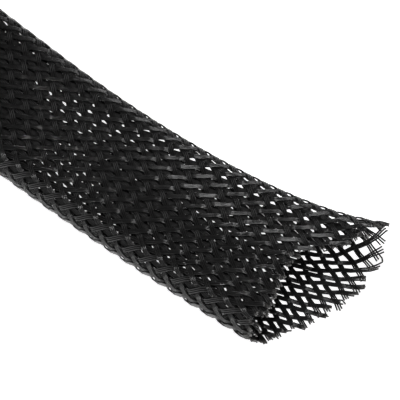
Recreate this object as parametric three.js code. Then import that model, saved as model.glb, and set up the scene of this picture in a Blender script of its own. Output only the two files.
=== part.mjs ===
// A braided cable sleeve: a length of expandable braided tube that lies flat, cut square
// at its far end and pushed open into a wide, slightly turned mouth at its near end.
// Millimetres, +Z up. The sleeve runs along +X on the plane z = 0, and its mouth looks
// along +X. The origin is under the middle of its outer box.
// The wall is the plain envelope of the braid: a pair of crossing strands, inside to outside.
import * as THREE from 'three';

// Length of the cut piece, along its middle
const cutLength = 1000;

// Section of the relaxed, flattened tube, measured over the outside
const bodyWidth = 21;
const bodyHeight = 6.2;
const bodyCrown = 0.12;
const wallThickness = 0.6;

// The end that has been opened: its length, its width and height at the lip, and its turn
const mouthLength = 57;
const mouthWidth = 25.3;
const mouthHeight = 7.1;
const mouthCrown = 1.25;
const mouthTurn = THREE.MathUtils.degToRad(10.8);

// How far the +Y side of the lip curls up, and how gently that begins across the lip
const lipCurl = 2.2;
const curlSpread = 1.3;

// How far the cut lip's top lies behind its bottom, and its -Y side behind its +Y side
const lipSetback = 4.2;
const lipSkew = 6;

// How late the flare, the slant and the curl of the lip come along the opened end
const flarePower = 2.5;
const slantPower = 4;
const curlPower = 7;

// Fineness of the faces: sides of the section, and stations along the two stretches
const sectionSides = 48;
const bodyStations = 6;
const mouthStations = 18;

const bodyLength = cutLength - mouthLength;
const turnRadius = mouthLength / mouthTurn;
const stationCount = bodyStations + mouthStations;

// A tube one unit high, turned from a closed profile, is the sleeve before it takes its shape
const unitInside = 1;
const unitOutside = 2;

function unitTube() {
  const profile = [];
  for (let i = 0; i <= stationCount; i++) {
    profile.push(new THREE.Vector2(unitOutside, i / stationCount));
  }
  for (let i = stationCount; i >= 0; i--) {
    profile.push(new THREE.Vector2(unitInside, i / stationCount));
  }
  profile.push(profile[0].clone());
  return new THREE.LatheGeometry(profile, sectionSides);
}

// One point of a section with round sides and flat faces, its top face slightly crowned.
// turn runs from 0 to 1 round it, from the middle of the +Y side over the top, and
// inset is the distance inside the outer face.
function sectionPoint(turn, { width, height, crown }, inset) {
  const sideRadius = height / 2;
  const halfFlat = width / 2 - sideRadius;
  const reach = sideRadius - inset;
  const quarters = 4 * turn + 0.5;
  const quarter = Math.floor(quarters) % 4;
  const share = quarters - Math.floor(quarters);
  if (quarter === 1 || quarter === 3) {
    const side = quarter === 1 ? 1 : -1;
    const y = side * halfFlat * (1 - 2 * share);
    const swell = quarter === 1 ? crown * (1 + Math.cos(Math.PI * y / halfFlat)) / 2 : 0;
    return { y, z: sideRadius + side * reach + swell };
  }
  const side = quarter === 0 ? 1 : -1;
  const angle = Math.PI * (share - 0.5);
  return {
    y: side * (halfFlat + reach * Math.cos(angle)),
    z: sideRadius + side * reach * Math.sin(angle),
  };
}

// Section of the sleeve where the opened end is open by a share from 0 to 1
function sectionAt(opened) {
  const flare = opened ** flarePower;
  return {
    width: THREE.MathUtils.lerp(bodyWidth, mouthWidth, flare),
    height: THREE.MathUtils.lerp(bodyHeight, mouthHeight, flare),
    crown: THREE.MathUtils.lerp(bodyCrown, mouthCrown, flare),
  };
}

// Stations lie far apart on the straight body and close together in the opened end
function alongAt(unitHeight) {
  const station = Math.round(unitHeight * stationCount);
  if (station <= bodyStations) return bodyLength * station / bodyStations;
  return bodyLength + mouthLength * (station - bodyStations) / mouthStations;
}

// The straight axis bends into an arc towards +Y over the opened end
function headingAt(along) {
  return Math.max(along - bodyLength, 0) / turnRadius;
}

function placeOnAxis(along, y, z) {
  const heading = headingAt(along);
  return new THREE.Vector3(
    Math.min(along, bodyLength) + (turnRadius - y) * Math.sin(heading),
    turnRadius - (turnRadius - y) * Math.cos(heading),
    z,
  );
}

// How far a point is pushed towards the mouth, so that the cut lip slants
function slantAt(opened, y, z, { width, height }) {
  const reach = lipSetback * (0.5 - z / height) + lipSkew * y / width;
  return reach * opened ** slantPower;
}

// How far a point is lifted towards the lip, more the further it is on the +Y side
function curlAt(opened, y, { width }) {
  const outwards = Math.max(y, 0) / (width / 2);
  return lipCurl * outwards ** curlSpread * opened ** curlPower;
}

function sleevePoint(unitPoint) {
  const outside = Math.hypot(unitPoint.x, unitPoint.z) > (unitInside + unitOutside) / 2;
  const turn = (Math.atan2(unitPoint.x, unitPoint.z) / (2 * Math.PI) + 1) % 1;
  const along = alongAt(unitPoint.y);
  const opened = Math.max(along - bodyLength, 0) / mouthLength;
  const section = sectionAt(opened);
  const { y, z } = sectionPoint(turn, section, outside ? 0 : wallThickness);
  const slant = slantAt(opened, y, z, section);
  const heading = headingAt(along);
  const onAxis = placeOnAxis(along, y, z + curlAt(opened, y, section));
  onAxis.x += slant * Math.cos(heading);
  onAxis.y += slant * Math.sin(heading);
  return onAxis;
}

function sleeveGeometry() {
  const geometry = unitTube();
  const position = geometry.getAttribute('position');
  const point = new THREE.Vector3();
  for (let i = 0; i < position.count; i++) {
    point.fromBufferAttribute(position, i);
    position.setXYZ(i, ...sleevePoint(point));
  }
  geometry.computeBoundingBox();
  const middle = geometry.boundingBox.getCenter(new THREE.Vector3());
  geometry.translate(-middle.x, -middle.y, 0);
  geometry.computeVertexNormals();
  return geometry;
}

const blackMonofilament = new THREE.MeshStandardMaterial({
  color: 0x1a1a1c,
  roughness: 0.42,
  metalness: 0,
});

const sleeve = new THREE.Mesh(sleeveGeometry(), blackMonofilament);
sleeve.name = 'braided_sleeve';

const part = new THREE.Group();
part.add(sleeve);

export default part;
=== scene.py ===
import math
import bpy
import numpy as np
from mathutils import Matrix, Vector


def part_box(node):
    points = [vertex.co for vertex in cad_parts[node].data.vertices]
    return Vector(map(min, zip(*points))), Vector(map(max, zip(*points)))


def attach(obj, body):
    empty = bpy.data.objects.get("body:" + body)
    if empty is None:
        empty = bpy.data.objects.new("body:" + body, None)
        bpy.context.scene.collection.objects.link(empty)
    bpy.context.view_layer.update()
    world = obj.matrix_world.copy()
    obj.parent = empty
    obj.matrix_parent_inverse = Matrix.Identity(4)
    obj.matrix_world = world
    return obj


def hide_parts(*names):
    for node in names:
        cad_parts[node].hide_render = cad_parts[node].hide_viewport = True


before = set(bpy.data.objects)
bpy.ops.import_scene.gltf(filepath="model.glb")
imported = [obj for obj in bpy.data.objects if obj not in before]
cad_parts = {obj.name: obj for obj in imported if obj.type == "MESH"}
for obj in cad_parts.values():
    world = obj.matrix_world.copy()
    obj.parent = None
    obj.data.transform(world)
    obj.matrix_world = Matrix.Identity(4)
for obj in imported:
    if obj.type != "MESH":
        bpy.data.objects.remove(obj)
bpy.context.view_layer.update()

mm = 0.001                     # lengths below are millimetres, Blender's are metres
random = np.random.default_rng(11)

# Outer shape of the sleeve, the same as the solid's
sleeve = {
    "length": 1000.0,
    "bodyWidth": 21.0,
    "bodyHeight": 6.2,
    "bodyCrown": 0.12,
    "wall": 0.6,
    "mouthLength": 57.0,
    "mouthWidth": 25.3,
    "mouthHeight": 7.1,
    "mouthCrown": 1.25,
    "mouthTurn": 10.8,         # degrees
    "flarePower": 2.5,
    "curl": 2.2,               # how far the +Y side of the lip curls up
    "curlPower": 7.0,
    "curlSpread": 1.3,
    "lean": -0.17,             # how much higher the +Y edge of the top is at the lip
    "leanLength": 60.0,        # over which the top comes to lean
    "leanRange": (-1.2, 1.0),  # on the body it leans the other way
    "openedLimit": 1.1,        # the mouth's shape goes on a little past the lip
}
bodyLength = sleeve["length"] - sleeve["mouthLength"]
turnRadius = sleeve["mouthLength"] / math.radians(sleeve["mouthTurn"])
lowCorner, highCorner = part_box("braided_sleeve")
tailX = lowCorner[0] / mm
middleY = lowCorner[1] / mm + sleeve["bodyWidth"] / 2


def mix(a, b, share):
    return a + (b - a) * share


# Share by which the sleeve is opened: 0 on the body, 1 at the lip
def openedAt(along):
    return np.clip((along - bodyLength) / sleeve["mouthLength"], 0, sleeve["openedLimit"])


# Width, height and crown of the section at a place along the sleeve
def sectionAt(along):
    flare = openedAt(along) ** sleeve["flarePower"]
    return (mix(sleeve["bodyWidth"], sleeve["mouthWidth"], flare),
            mix(sleeve["bodyHeight"], sleeve["mouthHeight"], flare),
            mix(sleeve["bodyCrown"], sleeve["mouthCrown"], flare))


def curlAt(along):
    return sleeve["curl"] * openedAt(along) ** sleeve["curlPower"]


# Point and outward normal on the middle of the wall. turn goes once round in 0 to 1,
# by length, from the middle of the +Y side over the top.
def onWall(turn, along):
    width, height, crown = sectionAt(along)
    axisZ = height / 2
    halfFlat = width / 2 - axisZ
    r = axisZ - sleeve["wall"] / 2
    quarter = math.pi * r / 2
    girth = 4 * halfFlat + 2 * math.pi * r
    s = (turn % 1) * girth
    far = s < quarter
    top = (s >= quarter) & (s < quarter + 2 * halfFlat)
    near = (s >= quarter + 2 * halfFlat) & (s < 3 * quarter + 2 * halfFlat)
    bottom = (s >= 3 * quarter + 2 * halfFlat) & (s < 3 * quarter + 4 * halfFlat)
    farAgain = s >= 3 * quarter + 4 * halfFlat
    angle = np.select([far, near, farAgain],
                      [s / r, math.pi / 2 + (s - quarter - 2 * halfFlat) / r, (s - girth) / r], 0.0)
    topY = halfFlat - (s - quarter)
    bottomY = -halfFlat + (s - 3 * quarter - 2 * halfFlat)
    foldY = np.where(near, -halfFlat, halfFlat) + r * np.cos(angle)
    y = np.select([top, bottom], [topY, bottomY], foldY)
    swell = crown * (1 + np.cos(math.pi * topY / halfFlat)) / 2
    slope = -crown * math.pi / halfFlat * np.sin(math.pi * topY / halfFlat) / 2
    z = np.select([top, bottom], [axisZ + r + swell, axisZ - r], axisZ + r * np.sin(angle))
    normalY = np.select([top, bottom], [-slope, 0 * s], np.cos(angle))
    normalZ = np.select([top, bottom], [1 + 0 * s, -1 + 0 * s], np.sin(angle))
    leaning = np.clip((along - bodyLength) / sleeve["leanLength"], *sleeve["leanRange"])
    sideways = np.sin(math.pi / 2 * np.clip(y / halfFlat, -1, 1))
    z = z * (1 + sleeve["lean"] * leaning * sideways / 2 / height)
    z = z + curlAt(along) * (np.maximum(y, 0) / width * 2) ** sleeve["curlSpread"]
    size = np.hypot(normalY, normalZ)
    heading = np.maximum(along - bodyLength, 0) / turnRadius
    straight = np.minimum(along, bodyLength)
    point = np.stack([tailX + straight + (turnRadius - y) * np.sin(heading),
                      middleY + turnRadius - (turnRadius - y) * np.cos(heading), z], -1)
    normal = np.stack([-normalY / size * np.sin(heading), normalY / size * np.cos(heading),
                       normalZ / size], -1)
    return point, normal


# Camera: where the photograph was taken from
view = {
    "azimuth": 136.36,         # degrees from +X towards +Y, the way that the camera looks
    "elevation": 46.14,
    "distance": 1200.0,
    "pixelsPerMm": 7.2,
    "imageSize": 400,
    "sensor": 36.0,
    "spot": (40.0, 2.0, 2.0),  # from the start of the opened end
    "spotPixel": (217.6, 247.1),
    "clipEnd": 20.0,           # metres
}


def placeCamera():
    az, el = math.radians(view["azimuth"]), math.radians(view["elevation"])
    look = Vector((math.cos(az) * math.cos(el), math.sin(az) * math.cos(el), -math.sin(el)))
    right = Vector((math.sin(az), -math.cos(az), 0))
    up = right.cross(look)
    spot = Vector(view["spot"]) + Vector((tailX + bodyLength, middleY, 0))
    middlePixel = view["imageSize"] / 2
    sideways = (view["spotPixel"][0] - middlePixel) / view["pixelsPerMm"]
    down = (view["spotPixel"][1] - middlePixel) / view["pixelsPerMm"]
    aim = spot - right * sideways + up * down
    eye = (aim - look * view["distance"]) * mm
    bpy.ops.object.camera_add(location=eye)
    camera = bpy.context.object
    turned = Matrix((right, up, -look)).transposed().to_4x4()
    camera.matrix_world = Matrix.Translation(eye) @ turned
    camera.data.sensor_width = view["sensor"]
    camera.data.lens = view["pixelsPerMm"] * view["distance"] * view["sensor"] / view["imageSize"]
    camera.data.clip_end = view["clipEnd"]
    bpy.context.scene.camera = camera


placeCamera()
print("camera placed")

# The braid: two families of flat yarns, each over two and under two of the other
braid = {
    "yarnsEachWay": 36,
    "strandsPerYarn": 3,
    "strandDiameter": 0.25,
    "strandPitch": 0.258,      # from strand to strand in a yarn
    "fullness": 1.05,          # six sides are made this much wider, to be as full as a round strand
    "plainFullness": 1.1,      # the same for four sides
    "diamond": 2.93,           # length of one diamond of the mesh along the sleeve
    "lipDiamond": 3.25,        # the same at the cut lip, where the yarns have slid
    "loosened": 12.0,          # how far back from the lip
    "lift": 0.135,             # height of a yarn over the middle of the wall
    "plainLift": 1.3,          # how much higher a plain strand goes, as it has few rings
    "crest": 0.35,             # how much a float's middle stands above its ends
    "sideBulge": 1.5,          # how much further the floats stand out along the two folds
    "bulgePower": 8,
    "wander": 0.02,            # of a yarn to its sides
    "strandWander": 0.1,       # of a strand in its yarn, as a share of that
    "sway": 0.4,               # a float lies more across the sleeve than its yarn does
    "lipSway": 0.08,           # the same at the cut lip, where the yarns are slack
    "calmLength": 14.0,        # how far back the sway grows from that
    "stretch": 0.2,            # how much wider the mesh is on the +Y side of the lip
    "skew": -0.47,             # how far the top's mesh is ahead of the bottom's
    "layerEdge": 1.6,          # how soon past a fold the mesh is all top or all bottom
    "twist": -0.0146,          # yarn spacings that the mesh turns in a millimetre
    "twistStart": -0.27,
    "fineLength": 75.0,        # the end made with round strands
    "splitSpread": 10,         # crossings over which the yarns change to plain strands
}
lipAt = sleeve["length"]
yarns = braid["yarnsEachWay"]
familyMark = 500               # between the numbers of the two families' strands

# The cut lip, where the strands part and stray
lip = {
    "cosines": (2.1, -0.5, 0.9, -0.45),  # how far out it reaches, by one to four times the turn
    "sines": (2.7, 0.3),
    "uneven": (-0.5, 0.3),     # crossings by which a yarn ends early or late
    "strandUneven": 0.4,       # of a strand's last stretch
    "looseCrossings": (1.2, 2.4),  # how far back the strands part, on the -Y and the +Y side
    "loosestTurn": 0.95,       # where round the lip they part most
    "leastLoose": 0.3,
    "splay": 0.3,              # added to the pitch
    "splaySpread": (0.1, 1),
    "settle": 0.6,             # how much of its lift a loose yarn loses
    "strayShare": 0.06,        # of the strands that stick out
    "strayReach": (0.2, 0.5),  # how far, as a share of the last stretch
    "strayAside": (0.7, 0.7, 0.25),
    "strayLowest": 0.15,       # above the ground
}

# How far the underside's mesh has slid against the top's: weights of 1, u, v, uu, uv, vv,
# where u runs along the opened end and v across the sleeve
slip = {
    "along": (-0.35, -0.67, 0.58, 0.98, 0.93, 1.46),    # mm
    "around": (-0.18, -0.36, -0.50, 0.60, 0.07, -1.21),  # yarn spacings
    "start": 10.0,             # where u is 0, from the start of the opened end
    "length": 50.0,            # from there to where u is 1
    "least": -0.7,             # u goes no lower on the body
}


def diamondAt(along):
    share = np.clip((along - lipAt + braid["loosened"]) / braid["loosened"], 0, 1)
    return mix(braid["diamond"], braid["lipDiamond"], share ** 2)


# A yarn crosses two of the other family in each diamond
alongGrid = np.linspace(-2, lipAt + 12, 8001)
crossingGrid = np.concatenate([[0], np.cumsum(2 * np.diff(alongGrid) / diamondAt(alongGrid[1:]))])


def crossingAt(along):
    return np.interp(along, alongGrid, crossingGrid)


def alongAt(crossing):
    return np.interp(crossing, crossingGrid, alongGrid)


splitCrossing = round(crossingAt(lipAt - braid["fineLength"]))


# A float lies over two yarns, dives between two and passes under the next two
def weaveWave(phase):
    fromCrest = np.abs((phase - 0.5 + 2) % 4 - 2)
    dive = np.clip((fromCrest - 0.5) / 1.0, 0, 1)
    return 1 - 2 * dive ** 2 * (3 - 2 * dive) + braid["crest"] * np.cos(math.pi * fromCrest)


# Where the cut lip lies for a yarn that reaches it at this turn
def lipReach(turn):
    t = 2 * math.pi * (turn - 0.75)
    reach = lipAt
    for k, size in enumerate(lip["cosines"]):
        reach = reach + size * math.cos((k + 1) * t)
    for k, size in enumerate(lip["sines"]):
        reach = reach + size * math.sin((k + 1) * t)
    return reach


# Three slow waves of random length
def smoothNoise(x, size):
    waves = random.uniform(0.06, 0.45, 3)
    starts = random.uniform(0, 2 * math.pi, 3)
    return size * sum(np.sin(x * k + p) for k, p in zip(waves, starts)) / 1.8


def unit(v):
    return v / np.maximum(np.linalg.norm(v, axis=-1, keepdims=True), 1e-12)


# Many strands in one mesh, each a closed tube
class StrandMesh:
    def __init__(self):
        self.points, self.quads, self.caps, self.marks, self.count = [], [], [], [], 0

    # A tube with flat ends along a path. cut tells which of its ends is a cut one.
    def addTube(self, path, normal, radius, sides, mark, cut=None):
        n = len(path)
        along = unit(np.gradient(path, axis=0))
        out = unit(normal - (normal * along).sum(1, keepdims=True) * along)
        across = np.cross(along, out)
        angle = math.pi / 2 + 2 * math.pi * np.arange(sides) / sides  # a corner on each side
        ring = (out[:, None] * np.cos(angle)[None, :, None]
                + across[:, None] * np.sin(angle)[None, :, None])
        points = path[:, None] + radius * ring
        k = np.arange(sides)
        first = self.count + np.arange(n - 1)[:, None] * sides
        following = first + sides
        quads = np.stack([first + k, first + (k + 1) % sides,
                          following + (k + 1) % sides, following + k], -1).reshape(-1, 4)
        self.points.append(points.reshape(-1, 3))
        self.quads.append(quads)
        self.caps.append((self.count + k)[::-1])
        self.caps.append(self.count + (n - 1) * sides + k)
        length = np.concatenate([[0], np.cumsum(np.linalg.norm(np.diff(path, axis=0), axis=1))])
        toCut = {"end": length[-1] - length, "start": length}.get(cut, length + 100)
        self.marks.append(np.stack([np.full(n * sides, mark), np.repeat(toCut, sides)], -1))
        self.count += n * sides

    # The UV map strandMap holds a strand's number and the distance from its cut end
    def makeObject(self, name, material):
        points = np.concatenate(self.points) * mm
        quads = np.concatenate(self.quads)
        sides = len(self.caps[0])
        caps = np.array(self.caps)
        mesh = bpy.data.meshes.new(name)
        mesh.vertices.add(len(points))
        mesh.vertices.foreach_set("co", points.astype(np.float32).ravel())
        corners = np.concatenate([quads.ravel(), caps.ravel()]).astype(np.int32)
        starts = np.concatenate([np.arange(len(quads)) * 4,
                                 len(quads) * 4 + np.arange(len(caps)) * sides]).astype(np.int32)
        mesh.loops.add(len(corners))
        mesh.loops.foreach_set("vertex_index", corners)
        mesh.polygons.add(len(starts))
        mesh.polygons.foreach_set("loop_start", starts)
        smooth = np.concatenate([np.ones(len(quads), bool), np.zeros(len(caps), bool)])
        mesh.update(calc_edges=True)
        mesh.polygons.foreach_set("use_smooth", smooth)
        layer = mesh.uv_layers.new(name="strandMap")
        layer.data.foreach_set("uv", np.concatenate(self.marks)[corners].astype(np.float32).ravel())
        mesh.validate()
        mesh.materials.append(material)
        piece = bpy.data.objects.new(name, mesh)
        bpy.context.collection.objects.link(piece)
        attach(piece, "root")
        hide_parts("braided_sleeve")
        return piece


# A value in a material, so that shader maths is written as Python expressions
class Value:
    def __init__(self, nodes, socket):
        self.nodes, self.socket = nodes, socket

    def maths(self, operation, a, b):
        return self.nodes.add("ShaderNodeMath", {"operation": operation}, i0=a, i1=b)

    def __add__(self, other): return self.maths("ADD", self, other)
    def __radd__(self, other): return self.maths("ADD", other, self)
    def __sub__(self, other): return self.maths("SUBTRACT", self, other)
    def __rsub__(self, other): return self.maths("SUBTRACT", other, self)
    def __mul__(self, other): return self.maths("MULTIPLY", self, other)
    def __rmul__(self, other): return self.maths("MULTIPLY", other, self)


class Nodes:
    def __init__(self, name):
        self.material = bpy.data.materials.new(name)
        self.material.use_nodes = True
        self.tree = self.material.node_tree
        self.shader = self.tree.nodes["Principled BSDF"]

    # One node: its settings first, then its sockets by number (i0) or by name
    def add(self, kind, settings=None, output=0, **inputs):
        node = self.tree.nodes.new(kind)
        for key, setting in (settings or {}).items():
            setattr(node, key, setting)
        for key, given in inputs.items():
            numbered = key[0] == "i" and key[1:].isdigit()
            socket = node.inputs[int(key[1:]) if numbered else key]
            if isinstance(given, Value):
                self.tree.links.new(given.socket, socket)
            else:
                socket.default_value = given
        return Value(self, node.outputs[output])

    def feed(self, name, value):
        self.tree.links.new(value.socket, self.shader.inputs[name])


strandLook = {
    "black": (0.022, 0.022, 0.022, 1),
    "worn": (0.03, 0.029, 0.029, 1),
    "wornByStrand": 0.6,       # share of the wear that differs from strand to strand
    "cloudScale": 160.0,       # of the rest, in clouds to the metre
    "roughness": 0.09,
    "roughnessSpread": 0.06,
    "frayed": (0.16, 0.155, 0.15, 1),
    "frayedShare": 0.8,
    "frayedFull": 0.4,         # mm from the cut end to where the frayed colour fades
    "frayedLength": 1.1,       # mm to where it has gone
    "frayedUneven": 0.8,
}


def blackMonofilament():
    nodes = Nodes("black_monofilament")
    place = nodes.add("ShaderNodeTexCoord", output=3)          # Object
    strand = nodes.add("ShaderNodeUVMap", {"uv_map": "strandMap"})
    number = nodes.add("ShaderNodeVectorMath", {"operation": "MULTIPLY"}, i0=strand, i1=(1, 0, 0))
    tone = nodes.add("ShaderNodeTexWhiteNoise", {"noise_dimensions": "2D"}, Vector=number)
    cloud = nodes.add("ShaderNodeTexNoise", Vector=place, Scale=strandLook["cloudScale"], Detail=3.0)
    wear = tone * strandLook["wornByStrand"] + cloud * (1 - strandLook["wornByStrand"])
    colour = nodes.add("ShaderNodeMix", {"data_type": "RGBA"}, output=2,
                       Factor=wear * wear, i6=strandLook["black"], i7=strandLook["worn"])
    toCut = nodes.add("ShaderNodeSeparateXYZ", output=1, i0=strand)
    frayed = nodes.add("ShaderNodeMapRange", {"clamp": True},
                       i0=toCut + cloud * strandLook["frayedUneven"], i1=strandLook["frayedFull"],
                       i2=strandLook["frayedLength"], i3=strandLook["frayedShare"], i4=0.0)
    colour = nodes.add("ShaderNodeMix", {"data_type": "RGBA"}, output=2,
                       Factor=frayed, i6=colour, i7=strandLook["frayed"])
    nodes.feed("Base Color", colour)
    nodes.feed("Roughness", strandLook["roughness"] + (tone - 0.5) * strandLook["roughnessSpread"])
    return nodes.material


monofilament = blackMonofilament()
print("monofilament coloured")


# Turn round the sleeve of a yarn. At the mouth the mesh is stretched on the +Y side.
def turnAt(number, way, crossings, along):
    twist = braid["twistStart"] + braid["twist"] * (along - bodyLength)
    phase = 2 * number + way * crossings
    calm = np.clip((along - lipAt + braid["calmLength"]) / braid["calmLength"], 0, 1)
    sway = mix(braid["sway"], braid["lipSway"], calm) * way * np.sin(math.pi * (phase - 0.5) / 2)
    turn = (phase + sway + twist) / (2 * yarns)
    stretch = braid["stretch"] * openedAt(along) ** 3
    return turn + stretch * np.sin(2 * math.pi * turn) / (2 * math.pi)


def skewAt(turn):
    return braid["skew"] * np.clip(braid["layerEdge"] * np.sin(2 * math.pi * turn), -1, 1)


# How far the underside's mesh has slid, along the sleeve and round it
def slipAt(turn, along):
    under = np.clip(-braid["layerEdge"] * np.sin(2 * math.pi * turn), 0, 1)
    u = np.clip((along - bodyLength - slip["start"]) / slip["length"], slip["least"], 1)
    v = np.cos(2 * math.pi * turn)
    terms = np.stack([u * 0 + 1, u, v, u * u, u * v, v * v])
    return under * (slip["along"] @ terms), under * (slip["around"] @ terms) / (2 * yarns)


# The strands of one yarn, each as its path and its normals. loose is 0 in the braid and
# grows to 1 at a cut end, where the strands part from each other.
def yarnStrands(number, way, crossings, lift, wander, loose):
    along = alongAt(crossings)
    turn = turnAt(number, way, crossings, along)
    slidAlong, slidAround = slipAt(turn, along)
    along = along + skewAt(turn) + slidAlong
    turn = turn + slidAround
    point, normal = onWall(turn, along)
    wave = way * weaveWave(2 * number + way * crossings)
    fold = np.cos(2 * math.pi * turn) ** braid["bulgePower"]
    bulge = 1 + braid["sideBulge"] * (wave > 0) * fold
    point = point + normal * (lift * wave * bulge)[:, None]
    forward = unit(np.gradient(point, axis=0))
    across = np.cross(normal, forward)
    drift = smoothNoise(crossings, wander)
    middleStrand = (braid["strandsPerYarn"] - 1) / 2
    strands = []
    for k in range(braid["strandsPerYarn"]):
        pitch = braid["strandPitch"] + lip["splay"] * loose ** 2 * random.uniform(*lip["splaySpread"])
        offset = (k - middleStrand) * pitch + drift
        offset = offset + smoothNoise(crossings, wander * braid["strandWander"])
        strands.append((point + across * offset[:, None], normal))
    return strands


def strandMark(number, way, k):
    return number * braid["strandsPerYarn"] + k + (familyMark if way > 0 else 0)


# Where a round strand gets its rings: on a float's two ends and on both sides of each dive
bends = np.array([0, 0.5, 1, 1.3, 1.7, 2, 2.5, 3, 3.3, 3.7])
closestRings = 0.15            # crossings
closestPlainRings = 0.2


def ringPlaces(number, way, start, stop):
    low, high = sorted((2 * number + way * start, 2 * number + way * stop))
    phases = (np.arange(math.floor(low / 4), math.ceil(high / 4))[:, None] * 4 + bends).ravel()
    crossings = np.sort(way * (phases - 2 * number))
    inside = (crossings > start + closestRings) & (crossings < stop - closestRings)
    return np.concatenate([[start], crossings[inside], [stop]])


# The stretch of a yarn up to the cut lip, with round strands
def fineYarn(mesh, number, way, start):
    end = crossingAt(lipAt)
    for _ in range(5):         # the yarn moves as its end does
        lipTurn = turnAt(number, way, end, lipAt)
        end = crossingAt(lipReach(lipTurn) - skewAt(lipTurn) - slipAt(lipTurn, lipAt)[0])
    farSide = (0.5 + 0.5 * math.cos(2 * math.pi * (lipTurn - lip["loosestTurn"]))) ** 2
    end += random.uniform(*lip["uneven"])
    crossings = ringPlaces(number, way, start, end)
    reach = mix(*lip["looseCrossings"], farSide)
    loosest = lip["leastLoose"] + (1 - lip["leastLoose"]) * farSide
    loose = np.clip((crossings - end) / reach + 1, 0, 1) * loosest
    lift = braid["lift"] * (1 - lip["settle"] * loose ** 3)
    radius = braid["strandDiameter"] / 2 * braid["fullness"]
    paths = yarnStrands(number, way, crossings, lift, braid["wander"], loose)
    for k, (path, normal) in enumerate(paths):
        uneven = random.uniform(-lip["strandUneven"], lip["strandUneven"])
        path[-1] = mix(path[-1], path[-2], uneven)
        if random.random() < lip["strayShare"]:
            tip = path[-1] + (path[-1] - path[-2]) * random.uniform(*lip["strayReach"])
            tip = tip + random.uniform(-1, 1, 3) * lip["strayAside"]
            tip[2] = max(tip[2], lip["strayLowest"])
            path = np.concatenate([path, [tip]])
            normal = np.concatenate([normal, normal[-1:]])
        mesh.addTube(path, normal, radius, 6, strandMark(number, way, k), "end")


# A long stretch of a yarn, with plain strands: one ring on each float and one in each dip
def longYarn(mesh, number, way, start, stop, cut=None):
    first = math.ceil((start - 0.5 * way) / 2) * 2 + 0.5 * way
    crossings = np.arange(first, stop, 2)
    inside = (crossings > start + closestPlainRings) & (crossings < stop - closestPlainRings)
    crossings = np.concatenate([[start], crossings[inside], [stop]])
    lift = np.full(len(crossings), braid["lift"] * braid["plainLift"])
    lift[0] = lift[-1] = braid["lift"]
    radius = braid["strandDiameter"] / 2 * braid["plainFullness"]
    paths = yarnStrands(number, way, crossings, lift, 0.0, 0 * lift)
    for k, (path, normal) in enumerate(paths):
        mesh.addTube(path, normal, radius, 4, strandMark(number, way, k), cut)


def makeBraid():
    start = crossingAt(0.0)
    middle = round((start + splitCrossing) / 2)
    for way, family in ((1, "right"), (-1, "left")):
        splits = splitCrossing - random.integers(0, braid["splitSpread"] + 1, yarns)
        fine = StrandMesh()
        body = StrandMesh()
        tail = StrandMesh()
        for number in range(yarns):
            fineYarn(fine, number, way, splits[number])
            longYarn(body, number, way, middle, splits[number])
            longYarn(tail, number, way, start, middle, "start")
        fine.makeObject("mouth_strands_" + family, monofilament)
        body.makeObject("body_strands_" + family, monofilament)
        tail.makeObject("tail_strands_" + family, monofilament)


makeBraid()
print("braid made")

# Floor and light, in metres
studio = {
    "floorSize": 8.0,
    "floorDrop": 0.0001,       # below the ground, to keep clear of the strands
    "floorColour": (0.85, 0.85, 0.85, 1),
    "floorRoughness": 0.9,
    "floorGlow": 1.0,
    "sky": 0.015,
}


def makeStudio():
    bpy.ops.mesh.primitive_plane_add(size=studio["floorSize"], location=(0, 0, -studio["floorDrop"]))
    floor = bpy.context.object
    floor.name = "floor"
    nodes = Nodes("pale_floor")
    nodes.shader.inputs["Base Color"].default_value = studio["floorColour"]
    nodes.shader.inputs["Roughness"].default_value = studio["floorRoughness"]
    nodes.shader.inputs["Emission Color"].default_value = (1, 1, 1, 1)
    nodes.shader.inputs["Emission Strength"].default_value = studio["floorGlow"]
    floor.data.materials.append(nodes.material)
    world = bpy.data.worlds.new("studio")
    world.use_nodes = True
    background = world.node_tree.nodes["Background"]
    background.inputs["Color"].default_value = (1, 1, 1, 1)
    background.inputs["Strength"].default_value = studio["sky"]
    bpy.context.scene.world = world
    bpy.context.scene.view_settings.view_transform = "Standard"


# Lamps, each in a direction from the mouth, or from a place some millimetres behind it.
# Those close to the mouth leave the body darker. Distances and sizes are in metres.
lamps = {
    "key": {"from": (0.2, -0.32, 0.92), "distance": 0.35, "size": 0.035, "power": 0.09},
    "mouth": {"from": (0.1, -0.2, 0.97), "distance": 0.14, "size": 0.02, "power": 0.034},
    "edge": {"from": (0.2, 0.0, 0.97), "distance": 0.14, "size": 0.02, "power": 0.028},
    "back": {"from": (-0.5, 0.65, 0.5), "distance": 0.3, "size": 0.12, "power": 0.055},
    "near": {"from": (0.3, -0.8, 0.5), "distance": 0.4, "size": 0.015, "power": 0.12},
    "body": {"behind": 520.0, "from": (0.1, -0.3, 0.9), "distance": 0.3, "size": 0.08, "power": 0.06},
    "tail": {"behind": 860.0, "from": (0.0, -0.3, 0.9), "distance": 0.3, "size": 0.08, "power": 0.07},
}
mouthMiddle = (15.0, 5.0)      # mm: how far behind the sleeve's end, and how high


def addLamp(name):
    lamp = lamps[name]
    behind = mouthMiddle[0] + lamp.get("behind", 0)
    target = Vector((highCorner[0] - behind * mm, 0, mouthMiddle[1] * mm))
    place = target + Vector(lamp["from"]).normalized() * lamp["distance"]
    bpy.ops.object.light_add(type="AREA", location=place)
    light = bpy.context.object
    light.name = name
    light.visible_camera = False
    light.data.size = lamp["size"]
    light.data.energy = lamp["power"]
    light.rotation_euler = (target - place).to_track_quat("-Z", "Y").to_euler()


makeStudio()
for name in lamps:
    addLamp(name)
print("studio lit")
